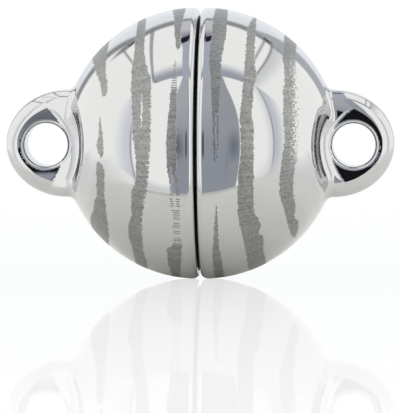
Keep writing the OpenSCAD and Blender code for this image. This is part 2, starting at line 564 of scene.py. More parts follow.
def settle(skins, points, quads):
    """Spreads the points evenly, puts them on the skins and draws those beside a crisp edge onto it."""

    def distance(p):
        return np.max([f(p) for f in skins], axis=0)

    start, end = np.concatenate([quads[:, [k, (k + 1) % 4]] for k in range(4)]).T
    n = len(points)
    starts = np.bincount(start, minlength=n)
    degree = starts + np.bincount(end, minlength=n)
    span = np.bincount(start, np.linalg.norm(points[start] - points[end], axis=1), n)
    span /= np.maximum(starts, 1)
    for turn in range(SPREAD_ROUNDS + PUT_ROUNDS):
        if turn < SPREAD_ROUNDS:
            total = [
                np.bincount(start, points[end, c], n) + np.bincount(end, points[start, c], n)
                for c in range(3)
            ]
            pull = np.stack(total, -1) / degree[:, None] - points
            g = slope(distance, points)
            points = points + 0.5 * (pull - g * (pull * g).sum(1, keepdims=True))
        way = distance(points)[:, None] * slope(distance, points)
        points = points - np.clip(way, -MAX_PUT, MAX_PUT)
    rows = np.arange(n)
    for _ in range(PUT_ROUNDS):
        heights = np.stack([f(points) for f in skins], -1)
        order = np.argsort(heights, axis=1)
        first, second = order[:, -1], order[:, -2]
        close = heights[rows, first] - heights[rows, second] < EDGE_SHARE * span
        for a, b in ((0, 1), (0, 2), (1, 2)):
            both = ((first == a) & (second == b)) | ((first == b) & (second == a))
            pick = np.nonzero(close & both)[0]
            points[pick] = onto_edge(skins[a], skins[b], points[pick])
    return points


def onto_edge(skin_a, skin_b, at):
    """The points moved onto the edge between two skins, where it is near."""
    if not len(at):
        return at
    ga, gb = slope(skin_a, at), slope(skin_b, at)
    fa, fb = skin_a(at), skin_b(at)
    k = (ga * gb).sum(1)
    even = 1 - k * k
    part_a = (fa - k * fb) / np.maximum(even, 1e-3)
    part_b = (fb - k * fa) / np.maximum(even, 1e-3)
    step = part_a[:, None] * ga + part_b[:, None] * gb
    far = np.linalg.norm(step, axis=1) > MAX_DRAW
    step[far | (even < PARALLEL)] = 0
    return at - step


def mesh_object(name, points, quads, normals):
    """An object made of the quads, with a normal for each corner."""
    mesh = bpy.data.meshes.new(name)
    mesh.vertices.add(len(points))
    mesh.vertices.foreach_set("co", points.astype(np.float32).ravel())
    mesh.loops.add(quads.size)
    mesh.loops.foreach_set("vertex_index", quads.astype(np.int32).ravel())
    mesh.polygons.add(len(quads))
    mesh.polygons.foreach_set("loop_start", np.arange(0, quads.size, 4, dtype=np.int32))
    mesh.update(calc_edges=True)
    if mesh.validate():
        raise RuntimeError(f"{name}: the mesh has faults")
    mesh.shade_smooth()
    mesh.normals_split_custom_set(normals.reshape(-1, 3).astype(np.float32))
    piece = bpy.data.objects.new(name, mesh)
    bpy.context.collection.objects.link(piece)
    return piece


def half_object(name, sizes, side, pocket_end):
    """The half whose eye points to side (1 or -1) along X."""
    if side < 0:
        skins = half_skins(sizes, pocket_end, sizes.left_twist, sizes.twist_drop * MM, LEFT_CORNERS)
    else:
        skins = half_skins(sizes, pocket_end, sizes.right_twist, 0.0, RIGHT_CORNERS)
    points, quads = skin(lambda p: np.max([f(p) for f in skins], axis=0), *half_grid(sizes))
    points = settle(skins, points, quads)
    # Each face takes its corners' normals from the one skin that it lies on, which keeps edges crisp
    middles = points[quads].mean(1)
    owner = np.argmax([f(middles) for f in skins], axis=0)
    slopes = np.stack([slope(f, points) for f in skins])
    normals = slopes[owner[:, None], quads]
    if side < 0:
        points, normals, quads = points * [-1, 1, 1], normals[:, ::-1] * [-1, 1, 1], quads[:, ::-1]
    return mesh_object(name, points / MM + [0, 0, CENTRE_Z], quads, normals)


# Node trees


class Graph:
    """Short calls that add nodes to one node tree."""

    def __init__(self, tree):
        self.tree = tree
        tree.nodes.clear()

    def node(self, kind, inputs=None, **settings):
        made = self.tree.nodes.new(kind)
        for key, value in settings.items():
            setattr(made, key, value)
        for key, value in (inputs or {}).items():
            self.put(made.inputs[key], value)
        return made

    def put(self, socket, value):
        if isinstance(value, bpy.types.NodeSocket):
            self.tree.links.new(value, socket)
        elif value is not None:
            socket.default_value = value

    def math(self, operation, *values):
        return self.node("ShaderNodeMath", dict(enumerate(values)), operation=operation).outputs[0]

    def chain(self, operation, values):
        """All the values taken together by one operation."""
        total = values[0]
        for value in values[1:]:
            total = self.math(operation, total, value)
        return total

    def plus(self, *values):
        return self.chain("ADD", values)

    def times(self, *values):
        """Product of the values, or what all the masks share."""
        return self.chain("MULTIPLY", values)

    def highest(self, *values):
        return self.chain("MAXIMUM", values)

    def minus(self, first, second):
        return self.math("SUBTRACT", first, second)

    def over(self, first, second):
        return self.math("DIVIDE", first, second)

    def fit(self, value, scale, shift):
        """value times scale, plus shift."""
        return self.math("MULTIPLY_ADD", value, scale, shift)

    def rest(self, mask):
        """What a mask leaves."""
        return self.minus(1.0, mask)

    def ramp(self, value, low, high, start=0.0, end=1.0, kind="SMOOTHSTEP"):
        """value taken from low..high to start..end, and kept at the ends."""
        return self.node(
            "ShaderNodeMapRange", {0: value, 1: low, 2: high, 3: start, 4: end}, interpolation_type=kind,
        ).outputs[0]

    def fall(self, value, low, high):
        """1 below low and 0 above high."""
        return self.ramp(value, low, high, 1.0, 0.0)

    def band(self, value, low, high, soft):
        """1 between low and high, fading over soft on both sides."""
        return self.times(
            self.ramp(value, low - soft, low + soft), self.fall(value, high - soft, high + soft),
        )

    def parts(self, vector):
        return self.node("ShaderNodeSeparateXYZ", {0: vector}).outputs

    def length(self, vector):
        return self.node("ShaderNodeVectorMath", {0: vector}, operation="LENGTH").outputs["Value"]

    def scaled(self, vector, factor):
        return self.node("ShaderNodeVectorMath", {0: vector, 3: factor}, operation="SCALE").outputs[0]

    def noise(self, place, scale, detail, rough=0.5):
        """Soft noise in space, 0..1."""
        return self.node("ShaderNodeTexNoise", {0: place, 2: scale, 3: detail, 4: rough}).outputs[0]

    def streaks(self, value, detail):
        """Soft noise along one number, 0..1."""
        return self.node(
            "ShaderNodeTexNoise", {1: value, 2: 1.0, 3: detail}, noise_dimensions="1D",
        ).outputs[0]

    def chance(self, number):
        """A random value in 0..1 for each number."""
        return self.node("ShaderNodeTexWhiteNoise", {1: number}, noise_dimensions="1D").outputs[0]

    def mix(self, share, first, second):
        """Number that goes from first to second with share."""
        return self.node("ShaderNodeMix", {0: share, 2: first, 3: second}, data_type="FLOAT").outputs[0]

    def blend(self, share, first, second):
        """Colour that goes from first to second with share."""
        made = self.node("ShaderNodeMix", {0: share}, data_type="RGBA")
        for socket, value in ((made.inputs[6], first), (made.inputs[7], second)):
            self.put(socket, value if isinstance(value, bpy.types.NodeSocket) else (*value, 1.0))
        return made.outputs[2]

    def mix_shader(self, share, first, second):
        return self.node("ShaderNodeMixShader", {0: share, 1: first, 2: second}).outputs[0]

    def light(self, colour, strength):
        return self.node("ShaderNodeEmission", {0: (*colour, 1.0), 1: strength}).outputs[0]

    def curve(self, value, points):
        """Curve through the given points (position, height) in 0..1."""
        made = self.node("ShaderNodeFloatCurve", {1: value})
        line = made.mapping.curves[0]
        line.points[0].location = points[0]
        line.points[1].location = points[-1]
        for x, y in points[1:-1]:
            line.points.new(x, y)
        for point in line.points:
            point.handle_type = "AUTO_CLAMPED"
        made.mapping.update()
        return made.outputs[0]


# Matte bands, in millimetres
BAND_REACH = 6.0  # the distance from the middle that a charted edge's 1 stands for
EDGE_SOFT = 0.012  # over which a band's edge fades
SLIT_SOFT = 0.01  # and a slit's
LINE_JAG = 0.05  # how much single laser lines differ in where they end
EDGE_WAVE = 0.07  # how much the edge wanders beside its chart
HALF_ROUND = 18.85  # half the ball's circumference


def between(g, out, near, far, soft):
    """Mask of what lies between two edges, fading over soft."""
    return g.times(g.ramp(g.minus(out, near), -soft, soft), g.ramp(g.minus(far, out), -soft, soft))


def stretch(g, at, first, last, soft):
    """Mask of the stretch of a band between two angles in degrees, fading over soft."""
    return g.band(at, first / 180, last / 180, soft / 180)


def mark_mask(g, place, half, sizes, raster_mm):
    """Mask of the matte bands at place, and the laser line there: the way across it and its number."""
    seed, slit, comb = half["seed"], half["slit"], half["comb"]
    x, y, z = g.parts(place)
    out = g.math("ABSOLUTE", x)
    turn = g.math("ARCTAN2", g.times(y, -1.0), z)
    round_way = g.over(g.math("ABSOLUTE", turn), math.pi)
    # Behind, the bands run on in the same manner but not as a mirror image
    behind = g.math("LESS_THAN", turn, 0.0)
    swing = g.math("SINE", g.times(round_way, math.pi))
    swing = g.times(swing, swing, behind)
    drift = g.streaks(g.fit(round_way, 3.0, seed), 2.0)
    out = g.plus(out, g.times(swing, g.times(g.minus(drift, 0.5), 1.6)))
    way = g.minus(round_way, g.times(swing, 0.09))
    lines = math.pi * sizes.ball_d / 2 * MM / raster_mm
    line = g.math("FLOOR", g.times(way, lines))
    across_line = g.math("FRACT", g.times(way, lines))
    at = g.over(g.plus(line, 0.5), lines)

    def edge(chart, salt):
        charted = g.times(g.curve(at, [(a / 180, d / BAND_REACH) for a, d in chart]), BAND_REACH)
        jag = g.fit(g.chance(g.plus(line, salt)), LINE_JAG, -LINE_JAG / 2)
        wave = g.fit(g.streaks(g.fit(at, 70.0, salt), 1.0), EDGE_WAVE, -EDGE_WAVE / 2)
        return g.plus(charted, g.plus(jag, wave))

    shares = []
    for number, band in enumerate(half["bands"]):
        salt = seed + 10 * number
        near, far = edge(band["near"], salt), edge(band["far"], salt + 5)
        share = between(g, out, near, far, EDGE_SOFT)
        if band["name"] in comb:
            share = comb[band["name"]](g, share, out, near, far, at, line)
        shares.append(share)
    open_slit = between(g, out, edge(slit["near"], seed + 40), edge(slit["far"], seed + 45), SLIT_SOFT)
    ball_r = sizes.ball_d / 2 * MM
    on_ball = g.ramp(g.length(place), ball_r - 0.45, ball_r - 0.35)
    return g.times(g.highest(*shares), g.rest(open_slit), on_ball), across_line, line


def speckled(g, share, out, near, far, at, line):
    """Fade of the outer band on the right half: polished specks grow towards its far edge."""
    across = g.over(g.minus(out, near), g.minus(far, near))
    flat = g.node("ShaderNodeCombineXYZ", {0: out, 1: g.times(at, HALF_ROUND), 2: 0.0}).outputs[0]
    specks = g.node("ShaderNodeTexNoise", {0: flat, 2: 10.5, 3: 0.0}, noise_dimensions="2D").outputs[0]
    limit = g.ramp(across, 0.3, 1.0, 0.1, 0.8, kind="LINEAR")
    gone = g.fall(g.minus(specks, limit), -0.03, 0.03)
    return g.times(share, g.rest(g.times(gone, stretch(g, at, 38, 96, 12))))


def combed(g, share, out, near, far, at, line):
    """Thin stretches of the inner band on the left half, where only some laser lines show."""
    across = g.over(g.minus(out, near), g.minus(far, near))
    even = g.math("LESS_THAN", g.math("MODULO", line, 2.0), 0.5)
    missing = g.ramp(at, 104 / 180, 136 / 180, 0.08, 0.25, kind="LINEAR")
    shown = g.times(even, g.math("GREATER_THAN", g.chance(g.plus(line, 0.3)), missing))
    low = g.times(stretch(g, at, 104, 136, 3), g.rest(shown))
    high = g.times(stretch(g, at, 50, 65, 2), g.rest(even))
    middle = g.times(g.band(across, 0.36, 0.66, 0.05), stretch(g, at, 99, 117, 2))
    return g.times(share, g.rest(g.highest(low, high, middle)))


def fringed(g, share, out, near, far, at, line):
    """Fringe of single laser lines along the near edge of the middle band on the left half."""
    deep = g.fit(g.chance(g.plus(line, 0.7)), 0.2, -0.07)
    short = g.math("LESS_THAN", g.minus(out, near), deep)
    skip = g.times(stretch(g, at, 66, 132, 4), short, g.math("MODULO", line, 2.0))
    return g.times(share, g.rest(skip))


# Zones of the metal's looks, each as the distances in millimetres over which it ends or starts
FACE_DEPTH, FACE_RIM = (0.085, 0.12), (5.62, 5.7)  # the parting face, along and from the axis
POCKET_DEPTH, POCKET_RIM = (3.5, 3.6), (3.24, 3.3)  # the magnet's pocket
FLAT_START, FLAT_FACE = (5.7, 5.9), (1.2, 1.3)  # an eye's flat, along and from front to back
# Heights of the fine relief, in metres
POLISH_WAVE = 0.0000016
ETCH_DEPTH = 0.000003
RING_DEPTH = 0.000003


def new_material(name):
    """A new material and its graph."""
    material = bpy.data.materials.new(name)
    material.use_nodes = True
    return material, Graph(material.node_tree)


def place_in_mm(g):
    """The place in millimetres from the ball's centre, and its distance from the clasp's axis."""
    place = g.node(
        "ShaderNodeMapping",
        {0: g.node("ShaderNodeTexCoord").outputs["Object"], 1: (0, 0, -CENTRE_Z * MM), 3: (MM, MM, MM)},
        vector_type="POINT",
    ).outputs[0]
    x, y, z = g.parts(place)
    return place, g.math("SQRT", g.plus(g.times(y, y), g.times(z, z)))


def finish_metal(g, colour, rough, relief):
    """A metal surface with a relief in metres, as the material's output."""
    bump = g.node("ShaderNodeBump", {"Strength": 1.0, "Distance": 1.0, "Height": relief})
    shader = g.node(
        "ShaderNodeBsdfPrincipled",
        {"Base Color": colour, "Metallic": 1.0, "Roughness": rough, "Normal": bump.outputs[0]},
    )
    g.node("ShaderNodeOutputMaterial", {0: shader.outputs[0]})


def steel_material(name, sizes, finish, half):
    """Mirror-polished steel with a half's matte laser-marked bands, and turned faces inside."""
    material, g = new_material(name)
    place, from_axis = place_in_mm(g)
    x, y, z = g.parts(place)
    out, depth = g.math("ABSOLUTE", x), g.math("ABSOLUTE", y)
    mark, across_line, line = mark_mask(g, place, half, sizes, finish.raster * MM)
    # Turned metal: the parting face and the magnet's pocket
    turned = g.highest(
        g.times(g.fall(out, *FACE_DEPTH), g.fall(from_axis, *FACE_RIM)),
        g.times(g.fall(from_axis, *POCKET_RIM), g.fall(out, *POCKET_DEPTH)),
    )
    tool_path = g.plus(from_axis, out)
    rings = g.streaks(g.times(tool_path, 22.0), 2.0)
    tool_marks = g.ramp(g.streaks(g.times(tool_path, 3.2), 3.0), 0.3, 0.7, 0.62, 1.1)
    # Uneven etching: lines differ and the metal between them glints; the marks are darker a little below
    # the middle
    ridge = g.band(across_line, 0.2, 0.8, 0.2)
    worm_place = g.node("ShaderNodeMapping", {0: place, 3: (2.4, 17.0, 17.0)}).outputs[0]
    # The marks are made darker a little below the ball's middle
    deep = g.times(g.fall(z, -1.8, 1.5), g.ramp(z, -5.0, -2.8))
    tone = g.plus(
        g.fit(g.chance(line), 0.22, -0.11),
        g.fit(g.noise(worm_place, 1.0, 2.0), 0.7, -0.35),
        g.fit(ridge, -0.14, 0.07),
        g.fit(g.noise(place, 11.0, 1.0), 0.8, -0.4),
        g.times(deep, -0.13),
        1.0,
    )
    colour = g.blend(mark, tuple(finish.steel), g.scaled(tuple(finish.mark), tone))
    colour = g.blend(turned, colour, g.scaled((0.42, 0.42, 0.415), tool_marks))
    rough = g.ramp(g.noise(place, 0.7, 3.0, 0.55), 0.35, 0.75, 0.022, 0.042)
    rough = g.mix(mark, rough, g.ramp(g.noise(place, 7.0, 3.0, 0.6), 0.2, 0.8, 0.30, 0.44))
    # The hollow corners beside the eyes can't be polished as bright
    hollow = g.times(g.ramp(out, 4.7, 4.8), g.fall(g.length(place), 5.9, 5.98), g.ramp(depth, 1.32, 1.6))
    rough = g.mix(hollow, rough, 0.11)
    turned_rough = g.plus(g.ramp(rings, 0.2, 0.8, 0.28, 0.40), g.ramp(from_axis, 4.2, 5.2, 0.0, 0.14))
    rough = g.mix(turned, rough, turned_rough)
    # Relief: faint polishing waves, the etched lines, the turned rings and the hand-finished flats
    on_flat = g.times(g.ramp(out, *FLAT_START), g.band(depth, *FLAT_FACE, 0.02))
    relief = g.plus(
        g.times(g.noise(place, 0.45, 1.0), POLISH_WAVE),
        g.times(ridge, mark, -ETCH_DEPTH),
        g.times(rings, turned, RING_DEPTH),
        g.times(g.noise(place, 2.6, 2.0), on_flat, half["flat_relief"]),
    )
    finish_metal(g, colour, rough, relief)
    return material


def nickel_material(finish):
    """Satin nickel plating with faint lapping rings and small dull spots."""
    material, g = new_material("satin_nickel")
    place, from_axis = place_in_mm(g)
    rings = g.streaks(g.times(from_axis, 14.0), 3.0)
    spots = g.noise(place, 1.6, 4.0, 0.6)
    dull = tuple(c * 0.86 for c in finish.nickel)
    colour = g.blend(g.ramp(spots, 0.4, 0.7), tuple(finish.nickel), dull)
    rough = g.plus(g.ramp(spots, 0.3, 0.7, 0.24, 0.36), g.fit(rings, 0.08, -0.04))
    relief = g.plus(g.times(rings, 0.0000016), g.times(g.noise(place, 26.0, 1.0), 0.0000012))
    finish_metal(g, colour, rough, relief)
    return material


def disc_tree(material):
    """Geometry Nodes tree of a disc magnet along X: a rounded profile carried round its axis."""
    tree = bpy.data.node_groups.new("disc_magnet", "GeometryNodeTree")
    face = tree.interface
    for name in ("Radius", "Thickness", "Edge rounding", "Front place", "Height of axis"):
        face.new_socket(name, in_out="INPUT", socket_type="NodeSocketFloat")
    for name in ("Facets", "Edge steps"):
        face.new_socket(name, in_out="INPUT", socket_type="NodeSocketInt")
    face.new_socket("Geometry", in_out="OUTPUT", socket_type="NodeSocketGeometry")
    g = Graph(tree)
    given = g.node("NodeGroupInput").outputs
    radius, thick, edge, front, height, facets, steps = given[:7]
    # Rows: the middle of the back, the back's rounding, the front's rounding, the middle of the front
    rows = g.plus(g.times(steps, 2.0), 4.0)
    columns = g.plus(facets, 1.0)
    grid = g.node(
        "GeometryNodeMeshGrid", {"Size X": 1.0, "Size Y": 1.0, "Vertices X": columns, "Vertices Y": rows},
    )
    number = g.node("GeometryNodeInputIndex").outputs[0]
    column = g.math("FLOOR", g.over(g.plus(number, 0.5), rows))
    row = g.minus(number, g.times(column, rows))
    angle = g.times(g.over(column, facets), math.tau)
    is_front = g.math("GREATER_THAN", row, g.plus(steps, 1.5))
    inner = g.minus(row, g.fit(is_front, g.plus(steps, 1.0), 1.0))
    part = g.highest(g.math("MINIMUM", g.over(inner, steps), 1.0), 0.0)
    lean = g.times(g.minus(part, g.rest(is_front)), math.pi / 2)
    last = g.minus(rows, 1.5)
    on_face = g.times(g.math("GREATER_THAN", row, 0.5), g.math("LESS_THAN", row, last))
    reach = g.plus(g.minus(radius, edge), g.times(edge, g.math("COSINE", lean)))
    reach = g.times(reach, on_face)
    straight = g.minus(thick, g.times(edge, 2.0))
    bulge = g.times(edge, g.minus(g.math("SINE", lean), 1.0))
    along = g.plus(g.times(g.minus(is_front, 1.0), straight), bulge)
    spot = g.node(
        "ShaderNodeCombineXYZ",
        {
            0: g.plus(front, along),
            1: g.times(reach, g.math("COSINE", angle)),
            2: g.plus(height, g.times(reach, g.math("SINE", angle))),
        },
    ).outputs[0]
    placed = g.node("GeometryNodeSetPosition", {"Geometry": grid.outputs[0], "Position": spot})
    joined = g.node("GeometryNodeMergeByDistance", {"Geometry": placed.outputs[0], "Distance": 1e-7})
    smooth = g.node("GeometryNodeSetShadeSmooth", {"Geometry": joined.outputs[0]})
    real = g.node("GeometryNodeRealizeInstances", {"Geometry": smooth.outputs[0]})
    dressed = g.node("GeometryNodeSetMaterial", {"Geometry": real.outputs[0], "Material": material})
    g.node("NodeGroupOutput", {0: dressed.outputs[0]})
    return tree


def disc_magnet(name, tree, low, high, sizes):
    """One magnet that fills the box from low to high, as a plain mesh with exact normals."""
    holder = bpy.data.objects.new(name, bpy.data.meshes.new(name))
    bpy.context.collection.objects.link(holder)
    modifier = holder.modifiers.new("disc", "NODES")
    modifier.node_group = tree
    values = {
        "Radius": (high.y - low.y) / 2, "Thickness": high.x - low.x, "Edge rounding": sizes.magnet_round,
        "Front place": high.x, "Height of axis": CENTRE_Z, "Facets": sizes.magnet_sides, "Edge steps": 6,
    }
    for item in tree.interface.items_tree:
        if item.in_out == "INPUT":
            modifier[item.identifier] = values[item.name]
    bpy.context.view_layer.update()
    mesh = bpy.data.meshes.new_from_object(holder.evaluated_get(bpy.context.evaluated_depsgraph_get()))
    holder.modifiers.remove(modifier)
    holder.data = mesh
    mesh.name = name
    co = np.zeros(len(mesh.vertices) * 3)
    mesh.vertices.foreach_get("co", co)
    co = co.reshape(-1, 3)
    # A normal points away from the disc that lies one edge rounding inside
    inner_r = values["Radius"] - sizes.magnet_round
    inner_half = values["Thickness"] / 2 - sizes.magnet_round
    out = np.hypot(co[:, 1], co[:, 2] - CENTRE_Z)
    way = np.stack([np.zeros(len(co)), co[:, 1], co[:, 2] - CENTRE_Z], -1) / np.maximum(out, 1e-9)[:, None]
    beyond = np.maximum(out - inner_r, 0)[:, None] * way
    x = co[:, 0] - (low.x + high.x) / 2
    beyond[:, 0] = np.sign(x) * np.maximum(np.abs(x) - inner_half, 0)
    beyond /= np.maximum(np.linalg.norm(beyond, axis=1, keepdims=True), 1e-12)
    mesh.normals_split_custom_set_from_vertices(beyond.astype(np.float32))
    return holder


# Operators

# Each half with its body and node, its marks and the height of its flats' fine relief in metres
HALVES = (
    {
        "name": "left_polished_half", "body": "left_side", "node": "left_half", "side": -1,
        "pocket_end": -MAGNET_LOW.x, "look": "steel_left_bands", "bands": LEFT_BANDS,
        "slit": LEFT_SLIT, "comb": {"inner": combed, "middle": fringed}, "seed": 3.0,
        "flat_relief": 0.0000006,
    },
    {
        "name": "right_polished_half", "body": "right_side", "node": "right_half", "side": 1,
        "pocket_end": FAR_MAGNET_HIGH.x, "look": "steel_right_bands", "bands": RIGHT_BANDS,
        "slit": RIGHT_SLIT, "comb": {"outer": speckled}, "seed": 103.0, "flat_relief": 0.0000003,
    },
)


class CLASP_OT_halves(bpy.types.Operator):
    """Make the two polished halves, with their eyes, pockets and matte bands"""

    bl_idname = "clasp.halves"
    bl_label = "Halves"

    def execute(self, context):
        sizes, finish = context.scene.clasp_sizes, context.scene.clasp_finish
        for half in HALVES:
            piece = half_object(half["name"], sizes, half["side"], half["pocket_end"] * MM + MAGNET_GAP)
            piece.data.materials.append(steel_material(half["look"], sizes, finish, half))
            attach(piece, half["body"])
            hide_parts(half["node"])
        return {"FINISHED"}


class CLASP_OT_magnets(bpy.types.Operator):
    """Make the two nickel-plated disc magnets"""

    bl_idname = "clasp.magnets"
    bl_label = "Magnets"

    def execute(self, context):
        sizes, finish = context.scene.clasp_sizes, context.scene.clasp_finish
        material = nickel_material(finish)
        tree = disc_tree(material)
        for name, low, high, body, node in (
            ("left_disc_magnet", MAGNET_LOW, MAGNET_HIGH, "left_side", "left_magnet"),
            ("right_disc_magnet", FAR_MAGNET_LOW, FAR_MAGNET_HIGH, "magnet_side", "right_magnet"),
        ):
            piece = disc_magnet(name, tree, low, high, sizes)
            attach(piece, body)
            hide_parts(node)
        return {"FINISHED"}


def floor_material(studio):
    """Pale glossy floor: white to the eye, with a mirror image that fades away from the clasp."""
    material, g = new_material("pale_floor")
    place = g.node("ShaderNodeTexCoord").outputs["Object"]
    x, y, _ = g.parts(place)
    away, aside = g.length(place), g.math("ABSOLUTE", x)
    fade = g.math("POWER", math.e, g.over(away, -studio.gloss_reach))
    # Gloss is strong along the floor and weak from above
    facing = g.node("ShaderNodeLayerWeight", {0: 0.5}).outputs["Facing"]
    gloss = g.times(fade, g.ramp(facing, 0.0, 0.9, 0.1, 1.0), studio.gloss)
    tint = g.blend(g.fall(away, 0.006, 0.026), tuple(studio.floor_white), tuple(studio.floor_near))
    tint = g.scaled(tint, g.ramp(g.noise(place, 130.0, 2.0), 0.3, 0.7, 0.955, 1.03))
    matte = g.node("ShaderNodeBsdfDiffuse", {0: tint}).outputs[0]
    sheen = g.node("ShaderNodeBsdfGlossy", {0: (1, 1, 1, 1), "Roughness": 0.02}).outputs[0]
    seen = g.mix_shader(gloss, g.mix_shader(0.04, g.light((1, 1, 1), 1.03), matte), sheen)
    # The clasp reflects the floor up to its front edge, and further out it passes into the tent's cloth
    # Painted light: the floor glows in the steel's reflections. The glow is painted weaker within a few
    # millimetres of the contact, as a painted contact shadow
    glow = g.light((1, 1, 1), g.ramp(away, 0.0005, 0.0055, 0.085, studio.painted_floor_glow))
    glowing = g.node("ShaderNodeAddShader", {0: matte, 1: glow}).outputs[0]
    slant = g.math("MINIMUM", g.highest(x, -0.015), 0.02)
    ahead = g.plus(g.fit(slant, 0.13, y), studio.floor_edge)
    # Painted shadow: a dark grey strip along the floor's front edge, seen in the steel's reflections, where
    # the tent's hem shades the floor
    hem_shade = g.times(g.band(ahead, 0.0, 0.0005, 0.0002), g.ramp(aside, 0.006, 0.012, 0.3, 0.0))
    glowing = g.mix_shader(hem_shade, glowing, g.light((0.3, 0.32, 0.34), 1.0))
    soft = g.ramp(aside, 0.007, 0.020, 0.0002, 0.009)
    past = g.fall(g.over(ahead, soft), -1.0, 1.0)
    far = g.times(away, g.ramp(y, 0.0, 0.01, 1.0, 0.55))
    beyond = g.highest(past, g.ramp(far, 0.014, 0.052))
    clear = g.node("ShaderNodeBsdfTransparent").outputs[0]
    mirrored = g.mix_shader(beyond, glowing, clear)
    is_seen = g.node("ShaderNodeLightPath").outputs["Is Camera Ray"]
    g.node("ShaderNodeOutputMaterial", {0: g.mix_shader(is_seen, mirrored, seen)})
    return material


# Tones of the light tent, as the steel reflects them
TENT = {
    "back wall": (1.03, 1.07, 1.12),
    "back wall's foot": (0.84, 0.87, 0.90),
    "back beam and left post": (0.36, 0.37, 0.39),
    "right post behind": (0.55, 0.57, 0.60),
    "roof beam": (0.46, 0.50, 0.57),
    "roof's shade": (0.60, 0.63, 0.68),
    "roof's seams": (0.34, 0.35, 0.38),
    "left shade": (0.74, 0.79, 0.90),
    "right shade": (0.66, 0.70, 0.78),
    "inner shade": (0.62, 0.65, 0.70),
    "front posts": (0.40, 0.43, 0.50),
    "hem_shade": (0.55, 0.57, 0.60),
    "room, high": (0.54, 0.565, 0.61),
    "room, right": (0.38, 0.40, 0.44),
    "room's dark things": (0.06, 0.06, 0.07),
    "room's crease": (0.2, 0.22, 0.26),
    "roof gap, near": (0.55, 0.575, 0.68),
    "roof gap, middle": (0.38, 0.38, 0.46),
    "roof gap, far": (0.74, 0.76, 0.79),
    "camera": (0.012, 0.012, 0.014),
    "roof hole": (0.02, 0.02, 0.03),
    "roof's corners": (0.10, 0.10, 0.12),
}
DARK_THINGS = ((-17.5, 0.62), (25.5, 0.45))  # in the room: (degrees round from the front, strength)
ROOF_CORNERS = ((-0.685, 0.79, 0.05), (0.635, 0.86, 0.05), (-0.69, -0.50, 0.02))  # (x, y, half the size)
TENT_NEAR = 0.02  # keeps places on the walls and the roof within reach


class TentPlaces:
    """Where a direction from the clasp meets the tent, a box of cloth whose walls are 1 away."""

    def __init__(self, g, turn):
        way = g.node("ShaderNodeTexCoord").outputs["Generated"]
        x, y, z = g.parts(g.node("ShaderNodeMapping", {0: way, 2: (0, 0, -turn)}).outputs[0])
        front = g.times(y, -1.0)
        ahead, behind, above = g.highest(front, TENT_NEAR), g.highest(y, TENT_NEAR), g.highest(z, TENT_NEAR)
        self.front_x, self.front_z = g.over(x, ahead), g.over(z, ahead)
        self.back_x, self.back_z = g.over(x, behind), g.over(z, behind)
        self.roof_x, self.roof_y = g.over(x, above), g.over(y, above)
        self.roof_yy = g.times(self.roof_y, self.roof_y)
        self.is_front, self.is_back = g.fall(y, -0.03, -0.02), g.ramp(y, 0.02, 0.03)
        self.is_up = g.ramp(z, 0.02, 0.05)
        # Degrees round from the front and up from the floor
        to_degrees = 180 / math.pi
        self.round = g.times(g.math("ARCTAN2", x, front), to_degrees)
        self.rise = g.times(g.math("ARCSINE", z), to_degrees)


def tent_back(g, at, colour):
    """Back wall with its beam and posts, seen in the rims."""
    low = g.fall(at.back_z, 1.05, 1.2)
    wall = g.times(at.is_back, g.band(at.back_x, -0.62, 0.56, 0.08), low)
    beam = g.times(at.is_back, g.band(at.back_z, 1.0, 1.36, 0.12), g.band(at.back_x, -1.1, 1.1, 0.1))
    left_post = g.times(at.is_back, g.band(at.back_x, -0.83, -0.58, 0.08), low)
    right_post = g.times(at.is_back, g.band(at.back_x, 0.47, 0.86, 0.06), low)
    colour = g.blend(wall, colour, TENT["back wall"])
    colour = g.blend(g.times(wall, g.fall(at.back_z, 0.0, 0.35)), colour, TENT["back wall's foot"])
    colour = g.blend(g.highest(beam, left_post), colour, TENT["back beam and left post"])
    return g.blend(right_post, colour, TENT["right post behind"])


def tent_roof(g, at, colour):
    """Roof with a beam at its front and seams along its sides."""
    beam = g.times(
        at.is_up,
        g.ramp(at.roof_y, -0.56, -0.53),
        g.fall(at.roof_y, -0.47, -0.22),
        g.band(at.roof_x, -0.70, 0.80, 0.03),
    )
    colour = g.blend(beam, colour, TENT["roof beam"])
    on_roof = g.times(at.is_up, g.band(at.roof_y, -0.5, 0.98, 0.06))
    seam_x = g.fit(at.roof_yy, 0.08, at.roof_x)
    shade = g.times(on_roof, g.ramp(seam_x, 0.74, 0.77), g.fall(seam_x, 0.78, 1.15))
    colour = g.blend(g.times(shade, 0.6), colour, TENT["roof's shade"])
    sag = g.fit(at.roof_yy, 0.12, g.fit(at.roof_y, -0.27, 0.556))
    lines = g.highest(
        g.band(seam_x, 0.745, 0.785, 0.02),
        g.band(at.roof_x, 0.59, 0.625, 0.02),
        g.band(at.roof_x, -0.84, -0.80, 0.02),
        g.band(g.plus(at.roof_x, sag), -0.024, 0.024, 0.012),
    )
    return g.blend(g.times(on_roof, lines, 0.8), colour, TENT["roof's seams"])


def tent_front(g, at, colour):
    """Front posts with shaded cloth beside them, and the darker hem."""
    height = g.times(at.is_front, g.band(at.front_z, -0.95, 2.0, 0.12))
    for tone, strength, rise, fall in (
        ("left shade", 0.75, (-80, -61), (-60.5, -59.0)),
        ("right shade", 0.85, (61, 62.5), (64, 78)),
        ("inner shade", 0.45, (53, 62), (62, 63)),
    ):
        shade = g.times(height, g.ramp(at.round, *rise), g.fall(at.round, *fall), strength)
        colour = g.blend(shade, colour, TENT[tone])
    posts = g.highest(g.band(at.round, -60.2, -58.2, 0.8), g.band(at.round, 61.2, 62.6, 0.8))
    colour = g.blend(g.times(height, posts, 0.85), colour, TENT["front posts"])
    hem_shade = g.times(at.is_front, g.fall(at.front_z, -0.95, -0.68), g.band(at.round, -62, 64, 2))
    return g.blend(g.times(hem_shade, 0.5), colour, TENT["hem_shade"])


